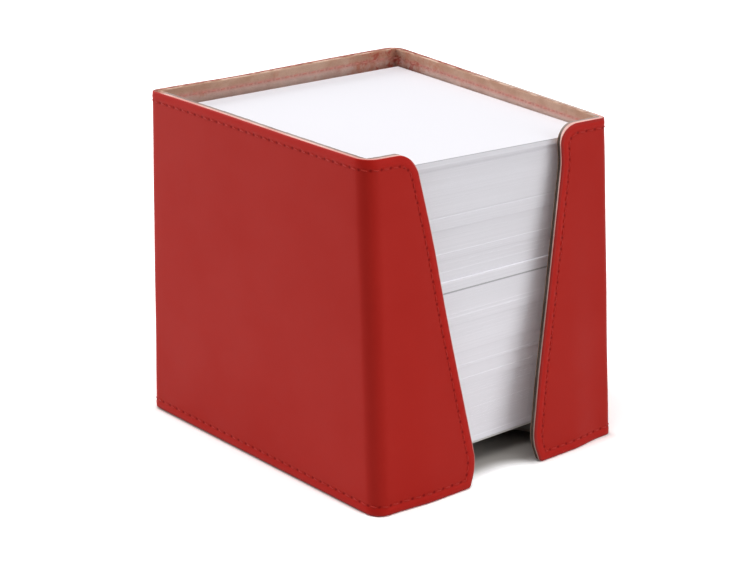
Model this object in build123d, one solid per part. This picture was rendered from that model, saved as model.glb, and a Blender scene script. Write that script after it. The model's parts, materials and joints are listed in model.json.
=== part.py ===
from build123d import *
import os

# A desk holder for a cube of loose memo sheets. A stiff leather strip, lined with
# split leather, is bent round a raised floor and ends in two flaps, which leave a
# V-shaped mouth down the front. Millimetres, +Z up, the mouth faces -Y, and the
# origin is in the middle of the footprint, on the surface that the holder stands on.

# Paper
SHEET = 90.0                     # side of the square sheets
SIDE_PLAY = 1.0                  # gap between the sheets and each side wall
BLOCK_BACK = 46.9                # where the back edge of the squared-up block lies
BLOCK_TOP = 98.3                 # height of the topmost sheet
CARD_THICKNESS = 0.6             # backing card under the block

# Wall: two layers of leather, glued and sewn
COVER_THICKNESS = 1.3
LINING_THICKNESS = 1.0
WALL = COVER_THICKNESS + LINING_THICKNESS
ROUND_CORNER = 5.0               # outer radius of the front left and back right corners
TIGHT_CORNER = 2.5               # and of the other two, which are folded tighter

# Holder
HEIGHT = 104.0
WIDTH = SHEET + 2 * (SIDE_PLAY + WALL)
FOOT_DEPTH = 108.0               # outside depth at the surface it stands on
FRONT_LEAN = 5.25                # how far the flaps lean back from foot to rim
BACK_LEAN = 2.75                 # how far the back leans forward from foot to rim

# Mouth between the flaps
MOUTH_RIM_WIDTH = 58.8           # straight edges of the mouth carried up to the rim
MOUTH_NECK_WIDTH = 24.0          # narrowest place, just above the foot
MOUTH_FOOT_WIDTH = 29.4          # opens again down to the foot
NECK_HEIGHT = 7.5
FLAP_TOP_RADIUS = 8.0
NECK_RADIUS = 14.0
FLAP_FOOT_RADIUS = 1.5

# Raised floor
FLOOR_TOP = 7.0
BOARD_THICKNESS = 2.0            # stiff board that the paper lies on
SOLE_THICKNESS = 0.8             # split leather under the board
SKIRT_THICKNESS = 1.0            # the same leather turned down inside the wall
NOTCH_RADIUS = 24.0              # finger notch in the front of the floor

# The block's partings, from the card up: (top height, how far the bundle below it
# sits forward of the squared-up block, how far it sits to the right)
LOWER_BUNDLES = [
    (12.0, 0.0, 0.0),
    (27.0, -0.2, 0.1),
    (32.5, 0.1, -0.1),
    (37.6, -0.1, 0.1),
    (46.7, 0.2, 0.0),
    (57.2, 0.0, -0.1),
]
UPPER_BUNDLES = [
    (60.6, 0.8, 0.2),
    (67.3, 0.3, 0.0),
    (76.4, 0.1, -0.1),
    (80.2, 0.4, 0.1),
    (93.2, 0.2, 0.0),
]
TOP_BUNDLES = [
    (94.9, 1.2, 0.0),
    (96.2, 1.4, 0.0),
    (BLOCK_TOP, 1.3, 0.0),
]

CUT_CLEARANCE = 1.0              # how far a cutter runs past what it cuts


def front_at(height):
    """Y of the flaps' outer face at a height."""
    return -FOOT_DEPTH / 2 + FRONT_LEAN * height / HEIGHT


def back_at(height):
    """Y of the back's outer face at a height."""
    return FOOT_DEPTH / 2 - BACK_LEAN * height / HEIGHT


def wall_outline(height, inset):
    """Outline that lies inset inside the wall's outer face at a height.

    Opposite corners share a radius, less the inset, down to a sharp corner.
    """
    front = front_at(height) + inset
    back = back_at(height) - inset
    outline = Rectangle(WIDTH - 2 * inset, back - front)
    for radius, side in ((ROUND_CORNER, 1), (TIGHT_CORNER, -1)):
        if radius > inset:
            corners = [v for v in outline.vertices() if side * v.X * v.Y > 0]
            outline = fillet(corners, radius - inset)
    return Pos(0, (front + back) / 2, height) * outline


def wall_block(inset, bottom, top):
    """Solid that fills the holder to inset inside its outer face, leaning with the wall."""
    return loft([wall_outline(bottom, inset), wall_outline(top, inset)], ruled=True)


def wall_layer(outer_inset, inner_inset, bottom, top):
    """Closed ring between two insets of the wall."""
    hollow = wall_block(inner_inset, bottom - CUT_CLEARANCE, top + CUT_CLEARANCE)
    return wall_block(outer_inset, bottom, top) - hollow


def mouth_cutter():
    """V between the flaps, with the flaps' rounded tops, soft neck and rounded feet."""
    over_rim = HEIGHT + CUT_CLEARANCE
    under_foot = -CUT_CLEARANCE
    reach = FLAP_TOP_RADIUS + CUT_CLEARANCE
    rim = MOUTH_RIM_WIDTH / 2
    neck = MOUTH_NECK_WIDTH / 2
    foot = MOUTH_FOOT_WIDTH / 2
    right_side = [
        (foot + reach, under_foot),
        (foot + reach, 0),
        (foot, 0),
        (neck, NECK_HEIGHT),
        (rim, HEIGHT),
        (rim + reach, HEIGHT),
        (rim + reach, over_rim),
    ]
    left_side = [(-x, z) for x, z in reversed(right_side)]
    outline = make_face(Polyline(*right_side, *left_side, close=True))
    rounded = [
        (rim, HEIGHT, FLAP_TOP_RADIUS),
        (neck, NECK_HEIGHT, NECK_RADIUS),
        (foot, 0, FLAP_FOOT_RADIUS),
    ]
    for x, z, radius in rounded:
        corners = [v for v in outline.vertices() if abs(abs(v.X) - x) < 0.01 and abs(v.Y - z) < 0.01]
        outline = fillet(corners, radius)
    front_plane = Plane.XZ.offset(FOOT_DEPTH / 2 + CUT_CLEARANCE)
    depth = FRONT_LEAN + WALL + ROUND_CORNER
    return extrude(front_plane * outline, -depth)


def notch_cutter():
    """Round finger notch through the floor, centred on the flaps' inner face."""
    centre_y = front_at(0) + WALL
    height = FLOOR_TOP + 2 * CUT_CLEARANCE
    return Pos(0, centre_y, height / 2 - CUT_CLEARANCE) * Cylinder(NOTCH_RADIUS, height)


def outer_cover():
    """Smooth outer leather: one strip, bent round four corners, open down the mouth."""
    return wall_layer(0, COVER_THICKNESS, 0, HEIGHT) - mouth_cutter()


def inner_lining():
    """Split leather glued to the inside of the cover and trimmed with it."""
    return wall_layer(COVER_THICKNESS, WALL, 0, HEIGHT) - mouth_cutter()


def base_board():
    """Stiff board that carries the paper, let in between the walls."""
    return wall_block(WALL, FLOOR_TOP - BOARD_THICKNESS, FLOOR_TOP) - notch_cutter()


def base_cover():
    """Leather under the board, its edges turned down as a skirt that the foot seam holds."""
    board_bottom = FLOOR_TOP - BOARD_THICKNESS
    sole_bottom = board_bottom - SOLE_THICKNESS
    sole = wall_block(WALL, sole_bottom, board_bottom)
    skirt = wall_layer(WALL, WALL + SKIRT_THICKNESS, 0, sole_bottom)
    return sole + skirt - notch_cutter()


def sheets(bottom, top, forward=0.0, right=0.0):
    """Squared-up bundle of loose sheets between two heights."""
    centre_y = BLOCK_BACK - SHEET / 2 - forward
    return Pos(right, centre_y, (bottom + top) / 2) * Box(SHEET, SHEET, top - bottom)


def bundles(name, bottom, stack):
    """One numbered node for each bundle of a stack, from the bottom up."""
    made = {}
    for number, (top, forward, right) in enumerate(stack, start=1):
        made[f"{name}_{number}"] = sheets(bottom, top, forward, right)
        bottom = top
    return made


def parts():
    """Every piece of the holder and its refill, by node name."""
    card_top = FLOOR_TOP + CARD_THICKNESS
    lower_top = LOWER_BUNDLES[-1][0]
    upper_top = UPPER_BUNDLES[-1][0]
    pieces = {
        "outer_cover": outer_cover(),
        "inner_lining": inner_lining(),
        "base_board": base_board(),
        "base_cover": base_cover(),
        "backing_card": sheets(FLOOR_TOP, card_top),
    }
    pieces.update(bundles("lower_bundle", card_top, LOWER_BUNDLES))
    pieces.update(bundles("upper_bundle", lower_top, UPPER_BUNDLES))
    pieces.update(bundles("top_sheets", upper_top, TOP_BUNDLES))
    return pieces


os.makedirs("parts", exist_ok=True)
for node, shape in parts().items():
    export_step(shape, f"parts/{node}.step")
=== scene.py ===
import json
import math

import bpy
import numpy as np
from mathutils import Matrix, Vector


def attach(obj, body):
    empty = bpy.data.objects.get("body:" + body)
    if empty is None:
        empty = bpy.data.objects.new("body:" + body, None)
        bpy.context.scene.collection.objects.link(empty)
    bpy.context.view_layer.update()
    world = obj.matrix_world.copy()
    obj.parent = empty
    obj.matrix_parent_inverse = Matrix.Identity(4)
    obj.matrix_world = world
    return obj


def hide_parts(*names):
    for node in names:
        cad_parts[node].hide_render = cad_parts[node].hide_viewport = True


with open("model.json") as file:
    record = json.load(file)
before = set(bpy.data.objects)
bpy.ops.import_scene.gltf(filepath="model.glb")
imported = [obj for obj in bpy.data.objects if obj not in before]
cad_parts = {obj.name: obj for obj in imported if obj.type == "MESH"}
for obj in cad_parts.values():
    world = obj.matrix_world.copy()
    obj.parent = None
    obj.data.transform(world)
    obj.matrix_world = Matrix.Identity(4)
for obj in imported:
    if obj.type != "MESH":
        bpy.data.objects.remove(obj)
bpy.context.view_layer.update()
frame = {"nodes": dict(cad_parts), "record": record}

# A leather holder for a cube of memo sheets, dressed for the camera. Shapes are worked
# out in millimetres and turned into metres when a mesh is made. +Z is up, the mouth
# between the flaps faces -Y, and the origin is in the middle of the footprint.
MM = 0.001

# Wall, as the solids have it
WIDTH = 96.6
HEIGHT = 104.0
FOOT_DEPTH = 108.0
FRONT_LEAN = 5.25
BACK_LEAN = 2.75
ROUND_CORNER = 5.0                          # outer radius at the front left and back right
TIGHT_CORNER = 2.5                          # and at the other two, which are folded tighter
COVER_THICKNESS = 1.3
WALL = 2.3
QUARTER_TURN = math.pi / 2

# Mouth: corners of the right-hand edge from the foot up, each with its rounding
MOUTH_CORNERS = [(14.7, 0.0, 1.5), (12.0, 7.5, 14.0), (29.4, HEIGHT, 8.0)]

# Seam
SEAM_INSET = 3.0                            # from the row of stitches to the cut edge
STITCH_PITCH = 3.5
THREAD_RADIUS = 0.20
SKIRT_TOP = 4.2                             # skirt of the sole, caught by the foot seam
SKIRT_THICKNESS = 1.0
NOTCH_HALF_WIDTH = 24.0                     # no skirt in front of the finger notch

# Paper
SHEET = 90.0
BLOCK_BACK = 46.9
CARD_TOP = 7.6
BLOCK_TOP = 98.3
LEAF = 0.25                                 # sheets that lie flush with one another

# How finely the shapes are drawn
CORNER_STEPS = 24                           # points on each rounded corner of the mouth
MOUTH_RUN_IN = 40.0                         # X from which the mouth's outline comes in at the foot
MOUTH_RUN_OUT = 60.0                        # and to which it goes out at the rim
BACK_COLUMNS = 40                           # half the wall: columns along the back
TURN_COLUMNS = 12                           # in each corner
SIDE_COLUMNS = 76                           # and along the side
SEAM_POINTS = 400                           # along the foot's and along the rim's run of the seam
SAMPLES_PER_STITCH = 16


def front_at(height):
    """Y of the flaps' outer face at a height."""
    return -FOOT_DEPTH / 2 + FRONT_LEAN * height / HEIGHT


def back_at(height):
    """Y of the back's outer face at a height."""
    return FOOT_DEPTH / 2 - BACK_LEAN * height / HEIGHT


def ease(value, low, high):
    """0 below low, 1 above high, and a smooth cubic step between them."""
    t = np.clip((value - low) / (high - low), 0.0, 1.0)
    return t * t * (3.0 - 2.0 * t)


def bell(value, centre, width):
    """Gaussian hump of height 1 about a centre."""
    return np.exp(-(((value - centre) / width) ** 2))


# ---------------------------------------------------------------- shape of the wall

def rounded_corner(before, corner, after, radius):
    """Arc that rounds a corner: centre on the bisector, touching both straight sides."""
    before, corner, after = (np.array(p, float) for p in (before, corner, after))
    way_in = (before - corner) / np.linalg.norm(before - corner)
    way_out = (after - corner) / np.linalg.norm(after - corner)
    half_angle = math.acos(float(way_in @ way_out)) / 2
    bisector = (way_in + way_out) / np.linalg.norm(way_in + way_out)
    centre = corner + bisector * radius / math.sin(half_angle)
    start = corner + way_in * radius / math.tan(half_angle) - centre
    end = corner + way_out * radius / math.tan(half_angle) - centre
    sweep = math.atan2(start[0] * end[1] - start[1] * end[0], float(start @ end))
    turn = np.linspace(0.0, sweep, CORNER_STEPS)[:, None]
    quarter = np.array([-start[1], start[0]])
    return centre + start * np.cos(turn) + quarter * np.sin(turn)


def mouth_outline(round_foot=True):
    """Right-hand edge of the mouth as (x, z) points, from the foot line up to the rim."""
    path = [(MOUTH_RUN_IN, 0.0)] + [(x, z) for x, z, _ in MOUTH_CORNERS] + [(MOUTH_RUN_OUT, HEIGHT)]
    pieces = []
    for index, (x, z, radius) in enumerate(MOUTH_CORNERS, start=1):
        if index == 1 and not round_foot:
            pieces.append(np.array([[x, z]]))
        else:
            pieces.append(rounded_corner(path[index - 1], path[index], path[index + 1], radius))
    return np.concatenate(pieces)


OUTLINE = mouth_outline()


def mouth_edge(height):
    """X of the mouth's right-hand edge at a height."""
    return np.interp(height, OUTLINE[:, 1], OUTLINE[:, 0])


def strip_half(height):
    """Length round the wall from the middle of the back to the middle of the front.

    Both hands have one round and one tight corner, so it is the same for both.
    """
    lost = (2.0 - QUARTER_TURN) * (ROUND_CORNER + TIGHT_CORNER)
    return WIDTH + back_at(height) - front_at(height) - lost


def corner_radii(hand):
    """Outer radius of the back and of the front corner, on the right (1) or the left (-1)."""
    back = np.where(hand > 0, ROUND_CORNER, TIGHT_CORNER)
    return back, ROUND_CORNER + TIGHT_CORNER - back


def strip_ends(height, hand):
    """Lengths from the middle of the back at which the back, the corner, the side and the
    next corner end."""
    back, front = corner_radii(hand)
    back_end = WIDTH / 2 - back
    side_start = back_end + back * QUARTER_TURN
    side_end = side_start + back_at(height) - front_at(height) - back - front
    return back_end, side_start, side_end, side_end + front * QUARTER_TURN


def wall_point(length, height, inset):
    """Point of the wall and its outward normal, a length round from the middle of the back.

    A round-cornered rectangle is walked: straight travel moves the centre of a circle of
    the corner's radius, turns swing the normal, and the point lies on that circle, less
    its inset. Front and back lean with height. Lengths are negative on the left.
    """
    hand = np.where(length < 0, -1.0, 1.0)
    walked = np.abs(length)
    back, front = corner_radii(hand)
    back_end, side_start, side_end, flap_start = strip_ends(height, hand)
    back_turn = np.clip((walked - back_end) / back, 0.0, QUARTER_TURN)
    front_turn = np.clip((walked - side_end) / front, 0.0, QUARTER_TURN)
    angle = QUARTER_TURN - back_turn - front_turn
    radius = np.where(walked < (side_start + side_end) / 2, back, front)
    along_side = np.clip(walked - side_start, 0.0, side_end - side_start)
    centre_x = np.minimum(walked, WIDTH / 2 - radius) - np.clip(walked - flap_start, 0.0, None)
    centre_y = back_at(height) - back - along_side
    reach = radius - inset
    point = np.stack(
        [hand * (centre_x + reach * np.cos(angle)), centre_y + reach * np.sin(angle), height + 0 * reach],
        axis=-1,
    )
    normal = np.stack([hand * np.cos(angle), np.sin(angle), 0 * angle], axis=-1)
    return point, normal


def fold(lengths, heights):
    """1 along the line of each upright fold, fading to 0 on the flat leather beside it."""
    hand = np.where(lengths < 0, -1.0, 1.0)
    walked = np.abs(lengths)
    back, front = corner_radii(hand)
    back_end, _, side_end, _ = strip_ends(heights, hand)
    at_back = bell((walked - back_end) / (back * QUARTER_TURN), 0.45, 0.36)
    at_front = bell((walked - side_end) / (front * QUARTER_TURN), 0.55, 0.36)
    return at_back + at_front


# How far the leather has moved in use at its upper corners and at its feet, in mm to the
# right, back and up: back left, back right, front left, front right
RIM_SHIFTS = [(-0.8, 0.4, 1.1), (1.2, -0.7, 0.4), (-0.2, 0.2, 0.5), (-0.4, 2.0, -3.8)]
FOOT_SHIFTS = [(0.0, 1.8, 0.3), (0.0, 0.0, 0.0), (0.0, 0.0, 0.15), (0.0, 0.2, 0.0)]


def settle(points):
    """The leather as it has settled in use, in place of the true shape.

    Each corner's shift counts by the point's share of that corner, the product of its
    nearness to the two sides that meet there, and by its height or its depth below the
    rim. Each edge of the mouth leans by its own curve, the flaps' feet splay forward to
    the left, and the rim ripples a little and sags at the back.
    """
    x, y, z = np.moveaxis(points, -1, 0)
    rise = z / HEIGHT
    right = np.clip((x + WIDTH / 2) / WIDTH, 0.0, 1.0)
    near = np.clip((back_at(z) - y) / (back_at(z) - front_at(z)), 0.0, 1.0)
    left = 1 - right
    far = 1 - near
    shares = np.stack([left * far, right * far, left * near, right * near], axis=-1)
    shift = rise[..., None] * (shares @ np.array(RIM_SHIFTS))
    shift += (1 - rise)[..., None] * (shares @ np.array(FOOT_SHIFTS))
    by_mouth = ease(-y, 38.0, 44.0) * ease(WIDTH / 2 - 5.0 - np.abs(x), 0.0, 15.0)
    left_edge = 2.8 - 3.5 * rise + 0.5 * bell(rise, 0.75, 0.16)
    right_edge = 2.35 + 0.45 * rise - 0.9 * rise ** 2
    right_edge = right_edge - 0.7 * ease(rise, 0.05, 0.3) - 2.1 * ease(rise, 0.87, 1.0)
    splay = 1.0 - rise
    shift[..., 0] += (np.where(x < 0, left_edge, right_edge) - 1.2 * splay) * by_mouth
    shift[..., 1] -= 1.35 * splay * by_mouth
    shift[..., 2] -= 0.4 * bell(x, -18.0, 18.0) * ease(y, 40.0, 48.0) * rise ** 6
    shift[..., 2] += 0.08 * np.sin(x / 9.0 + 1.0) * np.sin(y / 13.0) * rise ** 6
    return points + shift


def spaced(edge_steps, width, coarse):
    """Fractions across a width: close steps beside the edge at 0, then even coarse ones."""
    near = np.array(edge_steps)
    count = max(2, int(round((width - near[-1]) / coarse)))
    far = np.linspace(near[-1], width, count + 1)[1:]
    return np.concatenate([near, far]) / width


EDGE_STEPS = [0.0, 0.04, 0.11, 0.21, 0.34, 0.50] + [0.35 * n for n in range(2, 18)]


def wall_grid():
    """Lengths and heights of the wall's grid, columns round the wall by rows up it.

    Rows crowd towards foot and rim and columns towards the mouth. Each run or turn has
    a fixed share of the columns, stretched between its two ends at that height.
    """
    low = spaced(EDGE_STEPS, HEIGHT / 2, 2.0) * HEIGHT / 2
    rows = np.concatenate([low, HEIGHT - low[-2::-1]])
    shares = [
        np.linspace(0, 1, BACK_COLUMNS + 1)[:-1],
        np.linspace(0, 1, TURN_COLUMNS + 1)[:-1],
        np.linspace(0, 1, SIDE_COLUMNS + 1)[:-1],
        np.linspace(0, 1, TURN_COLUMNS + 1)[:-1],
        1.0 - spaced(EDGE_STEPS, 22.0, 0.9)[::-1],
    ]
    halves = []
    for hand in (-1.0, 1.0):
        ends = [0.0, *strip_ends(rows, hand), strip_half(rows) - mouth_edge(rows)]
        runs = zip(shares, ends, ends[1:])
        halves.append(np.concatenate([
            start + share[:, None] * (end - start + 0 * rows) for share, start, end in runs
        ]))
    lengths = np.concatenate([-halves[0][:0:-1], halves[1]])
    return lengths, np.broadcast_to(rows, lengths.shape)


def edge_distance(lengths, heights):
    """How far each point of the wall lies from its nearest cut edge, measured on the leather."""
    distance = np.minimum(heights, HEIGHT - heights)
    x = strip_half(heights) - np.abs(lengths)
    start, end = OUTLINE[:-1], OUTLINE[1:]
    span = end - start
    on_flap = x < WIDTH / 2
    point = np.stack([x[on_flap], heights[on_flap]], axis=-1)[:, None, :]
    along = np.clip(((point - start) * span).sum(-1) / (span ** 2).sum(-1), 0.0, 1.0)
    gap = np.linalg.norm(point - start - along[..., None] * span, axis=-1).min(axis=1)
    result = distance.copy()
    result[on_flap] = np.minimum(distance[on_flap], gap)
    return result


# ---------------------------------------------------------------- seam

def seam_path():
    """Half of the seam as evenly spaced (length, height) points and their spacing.

    It runs from the middle of the back along the foot, up beside the mouth and back
    along the rim. Beside the mouth it is the outline moved inwards along its normal.
    """
    outline = mouth_outline(round_foot=False)
    step = np.gradient(outline, axis=0)
    inward = np.stack([step[:, 1], -step[:, 0]], axis=-1)
    inward /= np.linalg.norm(inward, axis=1)[:, None]
    beside = outline + SEAM_INSET * inward
    turning = np.array([[np.interp(SEAM_INSET, beside[:, 1], beside[:, 0]), SEAM_INSET]])
    beside = beside[(beside[:, 1] > SEAM_INSET) & (beside[:, 1] <= HEIGHT - SEAM_INSET + 1e-6)]
    beside = np.concatenate([turning, beside])
    beside_length = strip_half(beside[:, 1]) - beside[:, 0]
    foot = np.linspace(0.0, beside_length[0], SEAM_POINTS)
    rim = np.linspace(beside_length[-1], 0.0, SEAM_POINTS)
    lengths = np.concatenate([foot, beside_length[1:], rim[1:]])
    at_foot = np.full(SEAM_POINTS, beside[0, 1])
    at_rim = np.full(SEAM_POINTS - 1, HEIGHT - SEAM_INSET)
    heights = np.concatenate([at_foot, beside[1:, 1], at_rim])
    run = np.concatenate([[0.0], np.cumsum(np.hypot(np.diff(lengths), np.diff(heights)))])
    count = int(round(run[-1] / STITCH_PITCH))
    samples = np.linspace(0.0, run[-1], count * SAMPLES_PER_STITCH + 1)
    return np.interp(samples, run, lengths), np.interp(samples, run, heights), count


SEAM_LENGTHS, SEAM_HEIGHTS, STITCHES_IN_HALF = seam_path()


def seam_marks(lengths, heights, distance):
    """For each point of the wall: stitches counted along the seam, distance to the edge, fold."""
    near = np.abs(distance - SEAM_INSET) < 2.6
    away = np.hypot(
        np.abs(lengths[near])[:, None] - SEAM_LENGTHS, heights[near][:, None] - SEAM_HEIGHTS
    )
    counted = np.zeros_like(distance)
    counted[near] = away.argmin(axis=1) / SAMPLES_PER_STITCH
    return np.stack([counted, distance, fold(lengths, heights)], axis=-1)


def stitches(centres, hand, base_inset, outward):
    """Points of a row of stitches, stitch by station by ring.

    Each stitch is a tube along the seam: proud of the leather in the middle, dipping
    into the needle holes at both ends, slimmer there, and lying slightly askew.
    """
    stations = np.linspace(-1.0, 1.0, 9)
    ring = np.linspace(0.0, 2 * math.pi, 8, endpoint=False)
    samples = np.arange(len(SEAM_LENGTHS))
    place = (centres[:, None] + 0.30 * stations) * SAMPLES_PER_STITCH
    length = hand * np.interp(place, samples, SEAM_LENGTHS)
    height = np.interp(place, samples, SEAM_HEIGHTS)
    lift = 0.06 * (1 - stations ** 2) - 0.30 * stations ** 6
    inset = base_inset(length, height) - outward * lift
    point, normal = wall_point(length, height, inset)
    along = np.gradient(point, axis=1)
    along /= np.linalg.norm(along, axis=-1)[..., None]
    across = np.cross(along, normal)
    point = point + across * (0.12 * stations)[:, None]
    radius = (THREAD_RADIUS * np.sqrt(1.0 - 0.8 * stations ** 4))[:, None, None]
    around = np.cos(ring)[:, None] * normal[..., None, :] + np.sin(ring)[:, None] * across[..., None, :]
    return settle(point[..., None, :] + radius * around)


# ---------------------------------------------------------------- meshes

def outward_faces(points, faces):
    """The faces, turned over if the closed shell that they make has a negative volume."""
    a, b, c, d = (points[faces[:, k]] for k in range(4))
    volume = (np.cross(a, b) * c).sum() + (np.cross(a, c) * d).sum()
    return faces if volume > 0 else faces[:, ::-1]


def mesh_piece(name, points, faces, materials, face_materials=None, smooth=True, caps=()):
    """Object at the origin made of points in mm, four-sided faces and any many-sided caps."""
    mesh = bpy.data.meshes.new(name)
    mesh.from_pydata((points * MM).tolist(), [], faces.tolist() + [list(c) for c in caps])
    for material in materials:
        mesh.materials.append(material)
    if face_materials is not None:
        mesh.polygons.foreach_set("material_index", np.asarray(face_materials, np.int32))
    mesh.polygons.foreach_set("use_smooth", np.full(len(mesh.polygons), smooth))
    mesh.update()
    piece = bpy.data.objects.new(name, mesh)
    bpy.context.scene.collection.objects.link(piece)
    return piece


def grid_faces(columns, rows, first=0):
    """Four-sided faces of a grid whose points run up each column in turn."""
    index = first + np.arange(columns * rows).reshape(columns, rows)
    corners = [index[:-1, :-1], index[1:, :-1], index[1:, 1:], index[:-1, 1:]]
    return np.stack(corners, axis=-1).reshape(-1, 4)


def tube_faces(index):
    """Four-sided faces between rings of point numbers. The last axis goes round a ring."""
    beside = np.roll(index, -1, axis=-1)
    corners = [index[..., :-1, :], beside[..., :-1, :], beside[..., 1:, :], index[..., 1:, :]]
    return np.stack(corners, axis=-1).reshape(-1, 4)


def mark_points(piece, name, values):
    """Stores three values on each point as an attribute that the material reads."""
    attribute = piece.data.attributes.new(name, "FLOAT_VECTOR", "POINT")
    attribute.data.foreach_set("vector", values.astype(np.float32).ravel())


def leather_layer(name, outside, inside, materials, marks):
    """Closed layer between two grids of the wall, with its cut edge all round as a band.

    Materials are the outside face's, the inside face's and the cut edge's. marks are
    stored on the points as the attribute seam.
    """
    columns, rows = outside.shape[:2]
    count = columns * rows
    index = np.arange(count).reshape(columns, rows)
    border = np.concatenate([index[:, 0], index[-1, 1:], index[-2::-1, -1], index[0, -2:0:-1]])
    following = np.roll(border, -1)
    outer = grid_faces(columns, rows)
    inner = grid_faces(columns, rows, count)[:, ::-1]
    band = np.stack([following, border, border + count, following + count], axis=-1)
    points = np.concatenate([outside.reshape(-1, 3), inside.reshape(-1, 3)])
    faces = outward_faces(points, np.concatenate([outer, inner, band]))
    kinds = np.repeat([0, 1, 2], [len(outer), len(inner), len(band)])
    piece = mesh_piece(name, points, faces, materials, kinds)
    mark_points(piece, "seam", np.concatenate([marks, marks]))
    piece.data.set_sharp_from_angle(angle=math.radians(42))
    return piece


def tubes(name, points, material):
    """Separate closed tubes in one mesh, from points by tube, station and ring."""
    count, stations, ring = points.shape[:3]
    index = np.arange(count * stations * ring).reshape(count, stations, ring)
    sides = tube_faces(index)
    caps = np.concatenate([index[:, 0, ::-1], index[:, -1]])
    one = tube_faces(index[0])
    if outward_faces(points[0].reshape(-1, 3), one) is not one:
        sides = sides[:, ::-1]
        caps = caps[:, ::-1]
    piece = mesh_piece(name, points.reshape(-1, 3), sides, [material], caps=caps.tolist())
    travel = np.broadcast_to(np.linspace(0, 1, stations)[:, None], (stations, ring))
    swing = np.broadcast_to(np.arange(ring) / ring, (stations, ring))
    marks = np.stack([travel, swing, 0 * swing], axis=-1).reshape(1, -1, 3)
    mark_points(piece, "thread", np.repeat(marks, count, axis=0))
    return piece


# ---------------------------------------------------------------- node trees

class Bench:
    """Short calls that add nodes to a tree and wire them."""

    def __init__(self, tree):
        self.tree = tree

    def feed(self, socket, value):
        """Wires an output into a socket, or sets a plain value or an opaque colour on it."""
        if isinstance(value, bpy.types.NodeSocket):
            self.tree.links.new(value, socket)
        else:
            socket.default_value = (*value, 1.0) if socket.type == "RGBA" else value

    def add(self, kind, inputs=None, **settings):
        """New node with its settings and inputs."""
        node = self.tree.nodes.new(kind)
        for key, value in settings.items():
            setattr(node, key, value)
        for key, value in (inputs or {}).items():
            self.feed(node.inputs[key], value)
        return node

    def math(self, operation, *values):
        """Output of a Math node."""
        node = self.add("ShaderNodeMath", operation=operation)
        for socket, value in zip(node.inputs, values):
            self.feed(socket, value)
        return node.outputs[0]

    def times(self, first, second):
        """Product of two values."""
        return self.math("MULTIPLY", first, second)

    def plus(self, first, second):
        """Sum of two values."""
        return self.math("ADD", first, second)

    def minus(self, first, second):
        """First value less the second."""
        return self.math("SUBTRACT", first, second)

    def scaled(self, value, factor, offset):
        """Value times a factor, plus an offset."""
        return self.math("MULTIPLY_ADD", value, factor, offset)

    def parts(self, vector):
        """X, Y and Z of a vector."""
        return self.add("ShaderNodeSeparateXYZ", {"Vector": vector}).outputs

    def marks(self, name):
        """The three values of an attribute that is stored on the points."""
        return self.parts(self.add("ShaderNodeAttribute", attribute_name=name).outputs["Vector"])

    def step(self, value, low, high):
        """Smooth step from 0 at low to 1 at high, or falling where low is above high."""
        inputs = {"Value": value, "From Min": low, "From Max": high}
        return self.add("ShaderNodeMapRange", inputs, interpolation_type="SMOOTHSTEP").outputs[0]

    def noise(self, vector, scale, detail, roughness=0.5):
        """Soft noise between 0 and 1."""
        inputs = {"Vector": vector, "Scale": scale, "Detail": detail, "Roughness": roughness}
        return self.add("ShaderNodeTexNoise", inputs).outputs["Fac"]

    def stretch(self, vector, scale):
        """Vector scaled along each axis."""
        return self.add("ShaderNodeMapping", {"Vector": vector, "Scale": scale}).outputs[0]

    def blend(self, factor, first, second):
        """Colour between two colours."""
        node = self.add("ShaderNodeMix", data_type="RGBA")
        for index, value in ((0, factor), (6, first), (7, second)):
            self.feed(node.inputs[index], value)
        return node.outputs[2]

    def shade(self, colour, amount):
        """Colour made darker or lighter by a factor."""
        node = self.add("ShaderNodeVectorMath", operation="SCALE")
        self.feed(node.inputs[0], colour)
        self.feed(node.inputs["Scale"], amount)
        return node.outputs[0]

    def bump(self, height, distance, strength):
        """Normal bent by a height."""
        inputs = {"Height": height, "Distance": distance, "Strength": strength}
        return self.add("ShaderNodeBump", inputs).outputs[0]

    def dress(self, shader, colour, height, distance, strength):
        """Wires a colour and a bump into a shader."""
        self.feed(shader.inputs["Base Color"], colour)
        self.feed(shader.inputs["Normal"], self.bump(height, distance, strength))

    def place(self):
        """Object coordinates, in metres."""
        return self.add("ShaderNodeTexCoord").outputs["Object"]

    def use(self, group, **values):
        """A shared effect, with its own values for this material."""
        node = self.add("ShaderNodeGroup", node_tree=group)
        for key, value in values.items():
            self.feed(node.inputs[key], value)
        return node


def effect(name, inputs, outputs):
    """Empty shader node group with named sockets, its Bench, its inputs and its output node."""
    tree = bpy.data.node_groups.new(name, "ShaderNodeTree")
    for socket_name, kind, value in inputs:
        socket = tree.interface.new_socket(name=socket_name, in_out="INPUT", socket_type=kind)
        if value is not None:
            socket.default_value = value
    for socket_name, kind in outputs:
        tree.interface.new_socket(name=socket_name, in_out="OUTPUT", socket_type=kind)
    bench = Bench(tree)
    return tree, bench, bench.add("NodeGroupInput").outputs, bench.add("NodeGroupOutput")


def finish_with(name, roughness, specular):
    """New material with one Principled shader, its Bench, and the shader."""
    material = bpy.data.materials.new(name)
    material.use_nodes = True
    material.node_tree.nodes.clear()
    bench = Bench(material.node_tree)
    values = {"Roughness": roughness, "Specular IOR Level": specular}
    shader = bench.add("ShaderNodeBsdfPrincipled", values)
    output = bench.add("ShaderNodeOutputMaterial")
    bench.feed(output.inputs["Surface"], shader.outputs[0])
    return material, bench, shader


FLOAT = "NodeSocketFloat"
VECTOR = "NodeSocketVector"


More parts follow.
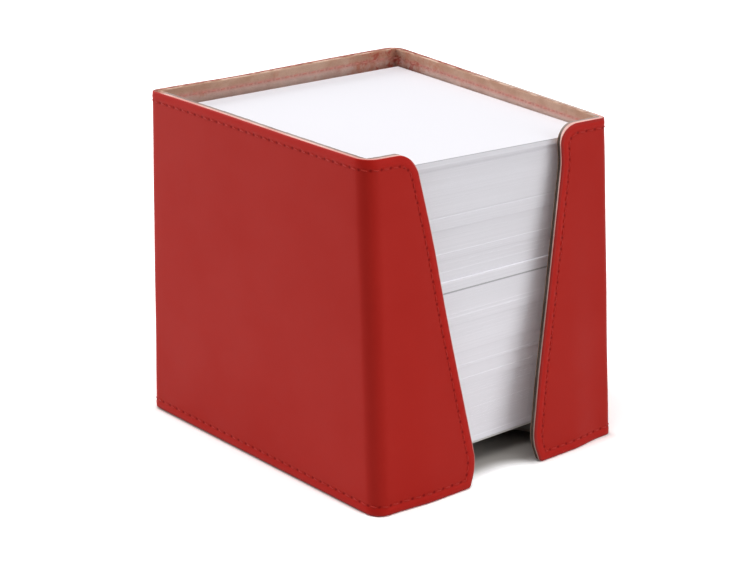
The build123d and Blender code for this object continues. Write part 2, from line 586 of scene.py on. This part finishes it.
def make_hide_grain():
    """Leather's surface: pores between rounded pebbles, over slow cloudy unevenness.

    Height is the distance to the nearest pebble border, softened by noise. Tone is the
    cloudiness alone, about 0.5.
    """
    tree, bench, given, out = effect(
        "hide_grain",
        [("Place", VECTOR, None), ("Pebbles per metre", FLOAT, 1600.0)],
        [("Height", FLOAT), ("Tone", FLOAT)],
    )
    cell = bench.add(
        "ShaderNodeTexVoronoi",
        {
            "Vector": given["Place"],
            "Scale": given["Pebbles per metre"],
            "Smoothness": 0.6,
            "Randomness": 0.9,
        },
        feature="SMOOTH_F1",
    )
    fine = bench.noise(given["Place"], 5200.0, 3.0)
    pebble = bench.minus(1.0, cell.outputs["Distance"])
    height = bench.scaled(fine, 0.5, pebble)
    cloud = bench.noise(given["Place"], 55.0, 4.0, 0.55)
    bench.feed(out.inputs["Height"], height)
    bench.feed(out.inputs["Tone"], cloud)
    return tree


def make_needle_row():
    """Row of needle holes read from the attribute seam.

    Across the row the distance is from the seam's line, and along it from the nearest
    whole stitch. Hole is 1 inside a round spot about both, and Dent is the wider dimple
    that the thread pulls round it.
    """
    tree, bench, given, out = effect(
        "needle_row", [("Hole size", FLOAT, 0.62)], [("Hole", FLOAT), ("Dent", FLOAT)]
    )
    marks = bench.marks("seam")
    across = bench.minus(marks[1], SEAM_INSET)
    phase = bench.minus(bench.math("FRACT", bench.plus(marks[0], 0.5)), 0.5)
    along = bench.times(phase, STITCH_PITCH)
    squares = bench.plus(bench.times(along, along), bench.times(across, across))
    away = bench.math("SQRT", squares)
    bench.feed(out.inputs["Hole"], bench.step(away, given["Hole size"], 0.20))
    bench.feed(out.inputs["Dent"], bench.step(away, 1.15, 0.15))
    return tree


def make_loose_fibre():
    """Fuzz of split leather and of cut edges: streaks of fine noise over soft blotches."""
    tree, bench, given, out = effect(
        "loose_fibre",
        [("Place", VECTOR, None), ("Fineness", FLOAT, 2400.0)],
        [("Height", FLOAT), ("Blotch", FLOAT)],
    )
    fibre = bench.noise(given["Place"], given["Fineness"], 5.0, 0.7)
    tuft = bench.noise(given["Place"], 420.0, 3.0, 0.6)
    bench.feed(out.inputs["Height"], bench.scaled(tuft, 0.7, fibre))
    bench.feed(out.inputs["Blotch"], bench.noise(given["Place"], 90.0, 5.0, 0.6))
    return tree


HIDE_GRAIN = make_hide_grain()
NEEDLE_ROW = make_needle_row()
LOOSE_FIBRE = make_loose_fibre()

RED_HIDE = (0.416, 0.0134, 0.0076)
RED_HIDE_DEEP = (0.372, 0.0105, 0.0058)
# Lighter, purer red outside the seam: the lightness is a painted highlight
RED_HIDE_PURE_HIGHLIT = (0.455, 0.0095, 0.0050)
# Dark line along the cut edges: painted shade on the turned edge, partly burnish
RED_HIDE_BURNISH_AND_SHADE = (0.300, 0.0300, 0.0270)
RED_HIDE_RAW = (0.800, 0.3300, 0.2900)
# Needle holes painted dark: painted shade in the holes
HOLE_SHADE = (0.225, 0.0040, 0.0030)


def make_red_hide():
    """Smooth dyed leather: even red, a little cloudy, and deepened in the folds by painted shade.

    Outside the seam it is purer in colour and lighter, the lightness a painted highlight on
    the puffed strip. Along the seam it has a shallow gutter deepened by painted shade, with
    needle holes painted dark as their shade; along the cut edges runs a dark line, painted
    shade on the turned edge and partly burnish; and on the left flap a raw pink line where
    the dye has worn off.
    """
    material, bench, shader = finish_with("smooth_red_hide", roughness=0.46, specular=0.10)
    place = bench.place()
    grain = bench.use(HIDE_GRAIN, Place=place)
    row = bench.use(NEEDLE_ROW)
    where = bench.parts(place)
    marks = bench.marks("seam")
    distance, folded = marks[1], marks[2]
    cloudy = bench.step(grain.outputs["Tone"], 0.30, 0.75)
    hide = bench.blend(bench.times(cloudy, 0.30), RED_HIDE, RED_HIDE_DEEP)
    # Purer and lighter red outside the seam; the lightness is a painted highlight on the puffed strip
    hide = bench.blend(bench.times(bench.step(distance, 3.0, 2.2), 0.7), hide, RED_HIDE_PURE_HIGHLIT)
    gutter = bench.step(bench.math("ABSOLUTE", bench.minus(distance, SEAM_INSET)), 0.9, 0.1)
    # Painted shade: the colour is deepened in the seam's gutter and in the folds
    fold_and_gutter_shade = bench.plus(bench.times(gutter, 0.04), bench.times(folded, 0.08))
    shaded = bench.shade(hide, bench.minus(1.0, fold_and_gutter_shade))
    below_rim = bench.step(where[2], 0.1025, 0.0990)
    wander = bench.scaled(bench.noise(place, 260.0, 3.0), 0.5, -0.25)
    frayed = bench.plus(distance, wander)
    # Painted shade along the turned cut edge below the rim, partly burnish
    burnish_and_edge_shade = bench.times(bench.step(frayed, 0.95, 0.45), bench.times(below_rim, 0.55))
    edged = bench.blend(burnish_and_edge_shade, shaded, RED_HIDE_BURNISH_AND_SHADE)
    on_left_flap = bench.times(bench.step(where[0], 0.002, 0.000), bench.step(where[0], -0.044, -0.040))
    off_foot = bench.times(bench.step(where[2], 0.003, 0.006), below_rim)
    raw = bench.times(bench.step(frayed, 0.50, 0.30), bench.times(on_left_flap, off_foot))
    worn = bench.blend(raw, edged, RED_HIDE_RAW)
    # Needle holes painted dark as their shade
    holed = bench.blend(row.outputs["Hole"], worn, HOLE_SHADE)
    rough = bench.scaled(cloudy, 0.08, 0.43)
    bench.feed(shader.inputs["Roughness"], bench.scaled(row.outputs["Hole"], 0.3, rough))
    height = bench.times(grain.outputs["Height"], 0.022)
    dented = bench.minus(height, bench.times(row.outputs["Dent"], 0.08))
    bench.dress(shader, holed, dented, 0.001, 0.5)
    return material


def mottling(bench, fibre):
    """0 to 1 in soft blotches, from the effect loose_fibre."""
    return bench.step(fibre.outputs["Blotch"], 0.35, 0.65)


def dress_fibrous(bench, shader, fibre, colour, depth):
    """A colour streaked and roughened by the effect loose_fibre, up to a depth in metres."""
    streak = bench.scaled(fibre.outputs["Height"], 0.35, 0.70)
    bench.dress(shader, bench.shade(colour, streak), fibre.outputs["Height"], depth, 0.7)


def make_fibrous(name, colour, other, fineness, depth):
    """Matt fibrous stuff whose colour wanders between two tones."""
    material, bench, shader = finish_with(name, roughness=0.9, specular=0.2)
    fibre = bench.use(LOOSE_FIBRE, Place=bench.place(), Fineness=fineness)
    mixed = bench.blend(mottling(bench, fibre), colour, other)
    dress_fibrous(bench, shader, fibre, mixed, depth)
    return material


def far_side(bench, place):
    """1 along the back and the right-hand side, the height, and how dyed their cut edges
    are, which fades along the right-hand side towards the front."""
    x, y, height = bench.parts(place)
    back = bench.step(y, 0.0440, 0.0475)
    right = bench.times(bench.step(x, 0.0435, 0.0455), bench.step(y, -0.0440, -0.0400))
    far = bench.math("MAXIMUM", back, right)
    return far, height, bench.times(far, bench.step(y, -0.004, 0.022))


def make_red_cut():
    """Cut edge of the cover: raw pink, greyer lower down and on the far sides, and specked
    with dark red dye about the back right corner and along the back."""
    material, bench, shader = finish_with("red_hide_cut_edge", roughness=0.9, specular=0.1)
    place = bench.place()
    fibre = bench.use(LOOSE_FIBRE, Place=place, Fineness=3000.0)
    far, height, soaked = far_side(bench, place)
    mottle = mottling(bench, fibre)
    raw = bench.blend(mottle, (0.92, 0.60, 0.54), (0.80, 0.42, 0.37))
    raw = bench.blend(bench.step(height, 0.090, 0.040), raw, (0.50, 0.34, 0.30))
    raw = bench.blend(far, raw, (0.66, 0.50, 0.43))
    speck = bench.step(bench.noise(place, 620.0, 3.0, 0.6), 0.40, 0.58)
    dyed = bench.blend(speck, (0.62, 0.300, 0.240), (0.30, 0.055, 0.040))
    edge = bench.blend(soaked, raw, dyed)
    dress_fibrous(bench, shader, fibre, edge, 0.0002)
    return material


def make_split_cut():
    """Cut edge of the lining, fuzzy: grey-brown at the near rim, partly painted shade; paler in
    patches on the far sides, partly a painted highlight; and dark brown below the rim, along
    the mouth, as painted shade."""
    material, bench, shader = finish_with("split_cut_edge", roughness=0.95, specular=0.1)
    place = bench.place()
    fibre = bench.use(LOOSE_FIBRE, Place=place, Fineness=2600.0)
    far, height, _ = far_side(bench, place)
    mottle = mottling(bench, fibre)
    # Grey-brown at the near rim, partly painted shade
    near = bench.blend(mottle, (0.44, 0.36, 0.33), (0.34, 0.26, 0.235))
    patch = bench.step(bench.noise(place, 190.0, 3.0), 0.40, 0.60)
    # Paler patches on the far sides, partly a painted highlight
    pale = bench.blend(patch, (0.44, 0.230, 0.160), (0.80, 0.56, 0.44))
    # Painted shade: below the rim, along the mouth, the edge is dark brown
    mouth = bench.blend(mottle, (0.105, 0.078, 0.062), (0.070, 0.050, 0.040))
    edge = bench.blend(bench.step(height, 0.0970, 0.1010), mouth, bench.blend(far, near, pale))
    dress_fibrous(bench, shader, fibre, edge, 0.0003)
    return material


def make_tan_split():
    """Lining: mottled split leather, tan towards its edges and pinkish grey below, with dye
    that has crept in along the seam and brown handling marks, most at the back right."""
    material, bench, shader = finish_with("tan_split", roughness=0.92, specular=0.15)
    place = bench.place()
    fibre = bench.use(LOOSE_FIBRE, Place=place, Fineness=2100.0)
    row = bench.use(NEEDLE_ROW)
    distance = bench.marks("seam")[1]
    where = bench.parts(place)
    mottle = mottling(bench, fibre)
    grey = bench.blend(mottle, (0.62, 0.445, 0.385), (0.53, 0.345, 0.290))
    tan = bench.blend(mottle, (0.57, 0.370, 0.275), (0.47, 0.270, 0.185))
    wander = bench.scaled(fibre.outputs["Blotch"], 1.8, -0.9)
    off_edge = bench.plus(distance, wander)
    hide = bench.blend(bench.step(off_edge, 1.6, 3.6), tan, grey)
    off_row = bench.math("ABSOLUTE", bench.minus(off_edge, SEAM_INSET))
    dyed = bench.times(bench.step(off_row, 1.2, 0.2), 0.40)
    stained = bench.blend(dyed, hide, (0.62, 0.200, 0.165))
    corner = bench.step(bench.plus(where[0], where[1]), 0.062, 0.096)
    marked = bench.step(bench.scaled(corner, 0.24, bench.noise(place, 210.0, 5.0, 0.7)), 0.52, 0.84)
    handled = bench.blend(bench.times(marked, 0.80), stained, (0.42, 0.130, 0.070))
    spotted = bench.step(bench.scaled(corner, 0.10, bench.noise(place, 480.0, 3.0, 0.6)), 0.62, 0.72)
    handled = bench.blend(bench.times(spotted, bench.times(corner, 0.7)), handled, (0.40, 0.050, 0.035))
    streak = bench.scaled(fibre.outputs["Height"], 0.30, 0.76)
    # Needle holes painted dark as their shade
    hole = bench.times(row.outputs["Hole"], 0.25)
    holed = bench.blend(hole, bench.shade(handled, streak), (0.30, 0.08, 0.06))
    height = bench.minus(fibre.outputs["Height"], bench.times(row.outputs["Dent"], 0.3))
    bench.dress(shader, holed, height, 0.0003, 0.6)
    return material


def make_seam_thread(name, colour, other):
    """Waxed thread of three plies: a wave along and round the tube gives the twist."""
    material, bench, shader = finish_with(name, roughness=0.55, specular=0.15)
    marks = bench.marks("thread")
    turns = bench.scaled(marks[0], 3.4, bench.times(marks[1], 3.0))
    twist = bench.scaled(bench.math("SINE", bench.times(turns, 2 * math.pi)), 0.5, 0.5)
    fuzz = bench.noise(bench.place(), 3000.0, 3.0)
    plied = bench.blend(bench.times(twist, 0.5), colour, other)
    bench.dress(shader, bench.shade(plied, bench.scaled(fuzz, 0.3, 0.85)), twist, 0.0001, 0.5)
    return material


PAPER_WHITE = (0.885, 0.874, 0.920)
PAPER_WHITEST = 1.06                        # times that white, so that it stays below 1


def make_memo_paper():
    """Uncoated white paper, faintly violet, whose cut edges carry painted lines of light and shade from
    the stack.

    The attribute leaf gives each sheet's own tone, that of the faint painted lines of light
    and shade, and that of the painted shade in the partings. The first two fade in and out
    along the sheets, and the partings run right through. The cut edges of the lower sheets
    are painted a little whiter, painted light where the flaps shade them, and the upward
    faces are painted whiter than the cut edges, painted light from above.
    """
    material, bench, shader = finish_with("memo_paper", roughness=0.85, specular=0.15)
    place = bench.place()
    own, line, parting = bench.marks("leaf")
    fading = bench.step(bench.noise(bench.stretch(place, (30.0, 30.0, 260.0)), 1.0, 2.0), 0.35, 0.62)
    coming = bench.step(bench.noise(bench.stretch(place, (18.0, 18.0, 500.0)), 1.0, 2.0), 0.30, 0.60)
    slow = bench.noise(bench.stretch(place, (6.0, 6.0, 120.0)), 1.0, 2.0)
    tone = bench.scaled(own, fading, 1.0)
    # Painted lines of light and shade along the cut edges, then painted shade in the partings
    tone = bench.scaled(line, bench.scaled(coming, 0.65, 0.35), tone)
    tone = bench.plus(tone, parting)
    tone = bench.scaled(slow, 0.05, bench.minus(tone, 0.025))
    # Painted light: faces that look up are made whiter than the cut edges
    normal = bench.add("ShaderNodeNewGeometry").outputs["Normal"]
    flat = bench.step(bench.parts(normal)[2], 0.5, 0.9)
    # Painted light: the cut edges are made whiter towards the bottom, where the flaps shade them
    low = bench.step(bench.parts(place)[2], 0.080, 0.010)
    tone = bench.scaled(low, 0.19, bench.minus(tone, 0.07))
    level = bench.plus(bench.times(flat, bench.minus(1.05, tone)), tone)
    level = bench.math("MINIMUM", level, PAPER_WHITEST)
    tooth = bench.noise(place, 2600.0, 3.0)
    bench.dress(shader, bench.shade(PAPER_WHITE, level), tooth, 0.00003, 0.5)
    return material


def make_floor():
    """Pale diffuse floor. Where the camera or a reflection looks at it, it is given back
    brighter, so that it shows white and keeps only the deep shade under the holder; there a
    painted shadow darkens its colour inwards from a line just inside the flaps' feet that
    bows out at the right."""
    material = bpy.data.materials.new("studio_floor")
    material.use_nodes = True
    material.node_tree.nodes.clear()
    bench = Bench(material.node_tree)
    seen = looked_at(bench)
    where = bench.parts(bench.place())
    beside = bench.math("MAXIMUM", bench.minus(where[0], 0.002), 0.0)
    bow = bench.math("MINIMUM", bench.times(bench.times(beside, beside), 33.0), 0.0048)
    inwards = bench.plus(where[1], bow)
    aside = bench.math("ABSOLUTE", where[0])
    inside = bench.times(bench.step(inwards, -0.0535, -0.0440), bench.step(aside, 0.050, 0.047))
    inside = bench.times(inside, bench.step(where[1], 0.056, 0.052))
    # Painted shadow: inside this mask the floor's colour falls from white to dark
    white_or_painted_shadow = bench.blend(inside, (1.5, 1.5, 1.5), (0.38, 0.36, 0.34))
    colour = bench.blend(seen, (0.86, 0.86, 0.86), white_or_painted_shadow)
    shader = bench.add("ShaderNodeBsdfDiffuse", {"Color": colour})
    bench.feed(bench.add("ShaderNodeOutputMaterial").inputs["Surface"], shader.outputs[0])
    return material


def looked_at(bench):
    """1 for rays from the camera, from a reflection or through something clear."""
    rays = bench.add("ShaderNodeLightPath").outputs
    either = bench.math("MAXIMUM", rays["Is Camera Ray"], rays["Is Glossy Ray"])
    return bench.math("MAXIMUM", either, rays["Is Transmission Ray"])


# ---------------------------------------------------------------- leather

LENGTHS, HEIGHTS = wall_grid()
DISTANCE = edge_distance(LENGTHS, HEIGHTS)
MARKS = seam_marks(LENGTHS, HEIGHTS, DISTANCE).reshape(-1, 3)


def edge_rounding(distance, radius):
    """How far a face falls back beside its cut edge: a quarter circle of that radius."""
    within = np.clip(radius - distance, 0.0, None)
    return radius - np.sqrt(np.clip(radius ** 2 - within ** 2, 0.0, None))


def unevenness(lengths, heights):
    """Slow swells of the leather, as sums of sines along and up the wall."""
    return (
        0.035 * np.sin(lengths / 11.0 + heights / 23.0)
        + 0.025 * np.sin(lengths / 5.3 - heights / 9.0 + 1.7)
        + 0.020 * np.sin(lengths / 17.0 + heights / 6.1 + 0.6)
    )


def make_cover(materials):
    """Outer leather: puffed outside its seam, drawn in along it, rounded at the cut edge,
    which is turned over further along the mouth and the foot than at the rim."""
    puff = 0.09 * bell(DISTANCE, 1.6, 0.8)
    groove = 0.06 * bell(DISTANCE, SEAM_INSET, 0.5) + 0.03 * bell(DISTANCE, 4.6, 1.6)
    calm = ease(DISTANCE, 4.0, 12.0)
    radius = 0.35 + 0.15 * ease(HEIGHT - HEIGHTS, 1.5, 5.0)
    inset = edge_rounding(DISTANCE, radius) + groove - puff + calm * unevenness(LENGTHS, HEIGHTS)
    outside, _ = wall_point(LENGTHS, HEIGHTS, inset)
    inside, _ = wall_point(LENGTHS, HEIGHTS, layer_border())
    piece = leather_layer("red_leather_cover", settle(outside), settle(inside), materials, MARKS)
    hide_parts("outer_cover")
    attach(piece, "holder")


def layer_border():
    """Depth at which cover and lining meet: the cover's fibres swell a little at the rim,
    and it is pared thinner towards the edges of the mouth and the foot."""
    below_rim = ease(HEIGHT - HEIGHTS, 1.5, 5.0)
    pared = 0.35 * bell(DISTANCE, 0.0, 1.5) * below_rim
    return COVER_THICKNESS + 0.22 * bell(HEIGHT - HEIGHTS, 0.0, 1.2) - pared


def crease():
    """How much the lining is pared away inside a round fold, so that it turns sharply.

    Across the turn the paring is the gap between an arc and its tangents' corner.
    """
    hand = np.where(LENGTHS < 0, -1.0, 1.0)
    walked = np.abs(LENGTHS)
    back, front = corner_radii(hand)
    back_end, _, side_end, _ = strip_ends(HEIGHTS, hand)
    at_back = np.clip((walked - back_end) / back, 0.0, QUARTER_TURN)
    at_front = np.clip((walked - side_end) / front, 0.0, QUARTER_TURN)
    turn = np.where(back == ROUND_CORNER, at_back, at_front)
    return 0.8 * (1.0 / np.maximum(np.cos(turn), np.sin(turn)) - 1.0) / (math.sqrt(2.0) - 1.0)


def make_lining(materials):
    """Split leather inside the cover, thickened and ragged at the rim, drawn in by the seam
    and pared away in the round folds."""
    ragged = np.sin(LENGTHS / 1.9) * np.sin(LENGTHS / 0.83) + 0.6 * np.sin(LENGTHS / 5.1)
    trimmed = HEIGHTS + 0.05 * bell(HEIGHT - HEIGHTS, 0.0, 0.5) * ragged
    groove = 0.08 * bell(DISTANCE, SEAM_INSET, 0.7)
    lip = 0.40 * bell(HEIGHT - HEIGHTS, 0.0, 1.5)
    inset = WALL + lip - edge_rounding(DISTANCE, 0.25) - groove - crease()
    outside, _ = wall_point(LENGTHS, trimmed, layer_border())
    inside, _ = wall_point(LENGTHS, trimmed, inset)
    piece = leather_layer("tan_leather_lining", settle(outside), settle(inside), materials, MARKS)
    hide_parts("inner_lining")
    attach(piece, "holder")


def make_seam(name, base_inset, outward, material):
    """Every stitch on one face of the wall, on both halves of the seam."""
    centres = np.arange(STITCHES_IN_HALF) + 0.5
    rows = [stitches(centres, hand, base_inset, outward) for hand in (1.0, -1.0)]
    rows[1] = rows[1][:, ::-1]
    piece = tubes(name, np.concatenate(rows), material)
    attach(piece, "holder")


def outer_seam_inset(length, height):
    """Depth of the groove in the cover that the thread lies in."""
    return np.full_like(length, 0.05)


def inner_seam_inset(length, height):
    """Lining's face in its groove, or the skirt's where the foot seam catches it too."""
    point, _ = wall_point(length, height, np.full_like(length, WALL))
    at_notch = (np.abs(point[..., 0]) < NOTCH_HALF_WIDTH + 1.0) & (point[..., 1] < 0)
    on_skirt = (height < SKIRT_TOP) & ~at_notch
    return WALL - 0.12 + on_skirt * (SKIRT_THICKNESS + 0.12)


# ---------------------------------------------------------------- paper

# Each bundle's bottom and top height, how far it sits forward of the squared-up block and
# to the right, and the steps that its sheets make forward above a height
BUNDLES = {
    "lower_bundle_1": (7.6, 12.0, 0.15, 0.0, [(9.3, -0.06), (11.2, -0.06)]),
    "lower_bundle_2": (12.0, 27.0, 0.15, 0.1, [(13.5, 0.02), (18.8, -0.04), (20.7, 0.04)]),
    "lower_bundle_3": (27.0, 32.5, 0.38, -0.1, [(29.0, -0.08)]),
    "lower_bundle_4": (32.5, 37.6, 0.50, 0.1, [(33.6, -0.08)]),
    "lower_bundle_5": (37.6, 46.7, 0.62, 0.0, [(43.8, 0.03)]),
    "lower_bundle_6": (46.7, 57.2, 0.85, -0.1, [(49.2, -0.08), (50.4, -0.07)]),
    "upper_bundle_1": (57.2, 60.6, 0.75, 0.2, []),
    "upper_bundle_2": (60.6, 67.3, 0.25, 0.0, [(63.7, -0.04)]),
    "upper_bundle_3": (67.3, 76.4, 0.32, -0.1, [(69.3, -0.10)]),
    "upper_bundle_4": (76.4, 80.2, 0.38, 0.1, []),
    "upper_bundle_5": (80.2, 93.2, 0.25, 0.0, [(86.0, 0.02)]),
    "top_sheets_1": (93.2, 94.9, 0.35, 0.1, []),
    "top_sheets_2": (94.9, 96.2, 0.35, 0.2, []),
    "top_sheets_3": (96.2, BLOCK_TOP, 0.95, 0.3, []),
}
# Painted lines of light and shade that come and go along the cut edges, where sheets stand
# proud or shade those below: height, tone and half width
FAINT_LIGHT_AND_SHADE_LINES = [
    (96.5, 0.035, 0.30), (94.8, -0.07, 0.25), (92.0, -0.03, 1.20), (80.6, -0.07, 0.20), (80.0, 0.03, 0.25),
    (76.4, -0.07, 0.20), (69.4, 0.04, 0.30), (67.2, -0.07, 0.20), (63.8, 0.01, 0.40), (60.8, -0.03, 0.20),
    (50.5, 0.03, 0.30), (49.2, 0.03, 0.25), (46.7, -0.07, 0.20), (43.8, -0.03, 0.25), (37.6, -0.07, 0.20),
    (33.7, 0.03, 0.35), (32.5, -0.06, 0.20), (29.1, 0.03, 0.30), (27.1, -0.07, 0.20), (20.7, -0.03, 0.25),
    (18.8, 0.03, 0.25), (13.5, -0.03, 0.25), (12.3, -0.06, 0.20), (11.3, 0.04, 0.30), (9.3, 0.04, 0.25),
]
# Painted shade in the partings that run right round, with a painted highlight on the ledge
# at 60.4: height, tone and half width
PARTING_SHADE_AND_HIGHLIGHT = [
    (98.2, -0.26, 0.20), (96.1, -0.05, 0.22), (60.4, 0.09, 0.30), (57.2, -0.75, 0.16), (7.75, -0.22, 0.20),
]
CHANCE = np.random.default_rng(41)


def slump(points):
    """The stack as it stands: twisted a hair from bottom to top, swollen a little about
    its middle, and each corner lifted or sunk by a share of its height above the card.
    Shares of the corners are worked out as for the leather. The topmost sheets are
    pressed closer together in front, most at the right."""
    x, y, z = np.moveaxis(points, -1, 0)
    rise = np.clip((z - CARD_TOP) / (BLOCK_TOP - CARD_TOP), 0.0, None)
    right = np.clip(x / SHEET + 0.5, 0.0, 1.0)
    near = np.clip((BLOCK_BACK - y) / SHEET, 0.0, 1.0)
    back = 1.4 * (1 - right) + 0.5 * right
    front = 1.0 * (1 - right) - 1.5 * right
    lift = (back * (1 - near) + front * near) * rise + 0.35 * np.sin(math.pi * rise)
    lift -= near * (0.4 + 0.5 * right) * ease(z, 94.5, BLOCK_TOP)
    turn = 0.005 - 0.017 * rise
    return np.stack([x - turn * y + 0.5 * rise, y + turn * x + 0.75 * rise ** 3, z + lift], axis=-1)


def toned(heights, lines):
    """Sum of the lines' humps at each height."""
    height, tone, width = np.array(lines).T
    return (tone * bell(heights[:, None], height, width)).sum(axis=1)


def make_bundle(node, body, material):
    """Bundle of loose sheets: a stack of thin square leaves, each shifted a hair at random.

    A leaf is two rows of points round a square, and the rows of all leaves are joined in
    turn, so every shift leaves a tiny ledge.
    """
    bottom, top, forward, right, steps = BUNDLES[node]
    count = int(round((top - bottom) / LEAF))
    levels = np.linspace(bottom, top, count + 1)
    middle = (levels[:-1] + levels[1:]) / 2
    extra = np.zeros(count)
    for height, shift in steps:
        extra += shift * (middle > height)
    ahead = forward + extra + CHANCE.normal(0.0, 0.012, count)
    aside = right + CHANCE.normal(0.0, 0.025, count)
    skew = CHANCE.normal(0.0, 0.00025, count)
    share = np.array([-1.0, -0.5, 0.0, 0.5])
    square = np.concatenate([
        np.stack([share, -np.ones(4)], axis=-1),
        np.stack([np.ones(4), share], axis=-1),
        np.stack([-share, np.ones(4)], axis=-1),
        np.stack([-np.ones(4), -share], axis=-1),
    ]) * SHEET / 2
    centre_y = BLOCK_BACK - SHEET / 2 - ahead
    x = aside[:, None] + square[:, 0] - skew[:, None] * square[:, 1]
    y = centre_y[:, None] + square[:, 1] + skew[:, None] * square[:, 0]
    leaf = np.stack([x, y], axis=-1)
    rings = np.repeat(leaf, 2, axis=0)
    heights = np.stack([levels[:-1], levels[1:]], axis=-1).ravel()
    rows, ring = rings.shape[:2]
    points = np.concatenate([rings, np.broadcast_to(heights[:, None, None], (rows, ring, 1))], axis=-1)
    index = np.arange(rows * ring).reshape(rows, ring)
    sides = tube_faces(index)
    caps = [index[0, ::-1].tolist(), index[-1].tolist()]
    name = node + "_sheets" if "sheets" not in node else node + "_leaves"
    piece = mesh_piece(name, slump(points.reshape(-1, 3)), sides, [material], smooth=False, caps=caps)
    own = CHANCE.normal(0.0, 0.012, count)
    # The second and third tones are painted light and shade: faint lines along the cut edges, and shade in
    # the partings with a highlight on one ledge
    tones = np.stack([own, toned(middle, FAINT_LIGHT_AND_SHADE_LINES), toned(middle, PARTING_SHADE_AND_HIGHLIGHT)], axis=-1)
    mark_points(piece, "leaf", np.repeat(tones, 2 * ring, axis=0))
    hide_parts(node)
    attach(piece, body)


# ---------------------------------------------------------------- make everything

red_hide = make_red_hide()
red_cut = make_red_cut()
split_cut = make_split_cut()
tan_split = make_tan_split()
glued = make_fibrous("glued_face", (0.30, 0.17, 0.12), (0.22, 0.11, 0.08), 1800.0, 0.0002)
thread = make_seam_thread("waxed_thread", (0.50, 0.030, 0.022), (0.41, 0.017, 0.012))
lining_thread = make_seam_thread("worn_thread", (0.60, 0.250, 0.205), (0.56, 0.200, 0.160))
paper = make_memo_paper()
card_stock = make_fibrous("card_stock", (0.72, 0.72, 0.70), (0.62, 0.62, 0.60), 3000.0, 0.00005)
# Board and sole get colours far below grey and brown, partly painted shade for the dark gap under the
# paper
grey_board_with_shade = make_fibrous("grey_board_with_shade", (0.09, 0.080, 0.070), (0.06, 0.055, 0.050), 1800.0, 0.0002)
brown_split_with_shade = make_fibrous("brown_split_with_shade", (0.07, 0.050, 0.040), (0.04, 0.030, 0.025), 1800.0, 0.0003)

make_cover([red_hide, glued, red_cut])
make_lining([glued, tan_split, split_cut])
make_seam("seam_thread_outside", outer_seam_inset, 1.0, thread)
make_seam("seam_thread_inside", inner_seam_inset, -1.0, lining_thread)

bodies = frame["record"]["behaviour"]["bodies"]
body_of = {node: body for body, nodes in bodies.items() for node in nodes}
for node in BUNDLES:
    make_bundle(node, body_of[node], paper)

for node, material in (
    ("backing_card", card_stock), ("base_board", grey_board_with_shade), ("base_cover", brown_split_with_shade),
):
    mesh = frame["nodes"][node].data
    mesh.materials.clear()
    mesh.materials.append(material)

# ---------------------------------------------------------------- studio

FLOOR_HALF = 800.0
floor = mesh_piece(
    "studio_floor",
    np.array([[-1, -1, 0], [1, -1, 0], [1, 1, 0], [-1, 1, 0]], float) * FLOOR_HALF,
    np.array([[0, 1, 2, 3]]),
    [make_floor()],
    smooth=False,
)

WORLD_LEVEL = 0.13


def make_world():
    """Even grey light, which shows as plain white where it is looked at."""
    world = bpy.data.worlds.new("studio")
    world.use_nodes = True
    bpy.context.scene.world = world
    world.node_tree.nodes.clear()
    bench = Bench(world.node_tree)
    seen = looked_at(bench)
    strength = bench.scaled(seen, 1.0 - WORLD_LEVEL, WORLD_LEVEL)
    shader = bench.add("ShaderNodeBackground", {"Color": (1.0, 1.0, 1.0), "Strength": strength})
    bench.feed(bench.add("ShaderNodeOutputWorld").inputs["Surface"], shader.outputs[0])


def soft_lamp(name, azimuth, elevation, distance, size, level):
    """Square lamp aimed at the holder. Level is what a white face turned to it shows."""
    light = bpy.data.lights.new(name, "AREA")
    light.size = size
    light.energy = level * (math.pi * distance) ** 2
    lamp = bpy.data.objects.new(name, light)
    a, e = math.radians(azimuth), math.radians(elevation)
    away = Vector((math.sin(a) * math.cos(e), -math.cos(a) * math.cos(e), math.sin(e)))
    lamp.location = Vector((0.0, 0.0, 0.05)) + away * distance
    lamp.rotation_mode = "QUATERNION"
    lamp.rotation_quaternion = (-away).to_track_quat("-Z", "Y")
    bpy.context.scene.collection.objects.link(lamp)


make_world()
soft_lamp("overhead", -20, 80, 1.8, 1.4, 0.70)
soft_lamp("left_rear", -150, 22, 1.6, 0.9, 0.67)
soft_lamp("right_front", 24, 18, 1.6, 1.2, 0.37)

IMAGE_WIDTH = 753
FOCAL_PIXELS = 2123.3
YAW = math.radians(-40.881)
PITCH = math.radians(19.342)
ROLL = math.radians(0.318)
STAND_POINT = Vector((-405.9, -466.06, 263.12)) * MM


def make_camera():
    """Camera at the stand point: turned by yaw, tipped down by pitch, then rolled."""
    camera = bpy.data.cameras.new("camera")
    camera.sensor_width = 36.0
    camera.lens = FOCAL_PIXELS * camera.sensor_width / IMAGE_WIDTH
    camera.clip_start = 0.01
    camera.clip_end = 50.0
    forward = Vector((-math.sin(YAW) * math.cos(PITCH), math.cos(YAW) * math.cos(PITCH), -math.sin(PITCH)))
    level = Vector((math.cos(YAW), math.sin(YAW), 0.0))
    upright = level.cross(forward)
    right = math.cos(ROLL) * level + math.sin(ROLL) * upright
    up = math.cos(ROLL) * upright - math.sin(ROLL) * level
    turn = Matrix((right, up, -forward)).transposed()
    holder = bpy.data.objects.new("camera", camera)
    holder.matrix_world = Matrix.Translation(STAND_POINT) @ turn.to_4x4()
    bpy.context.scene.collection.objects.link(holder)
    bpy.context.scene.camera = holder


make_camera()
bpy.context.scene.view_settings.view_transform = "Standard"
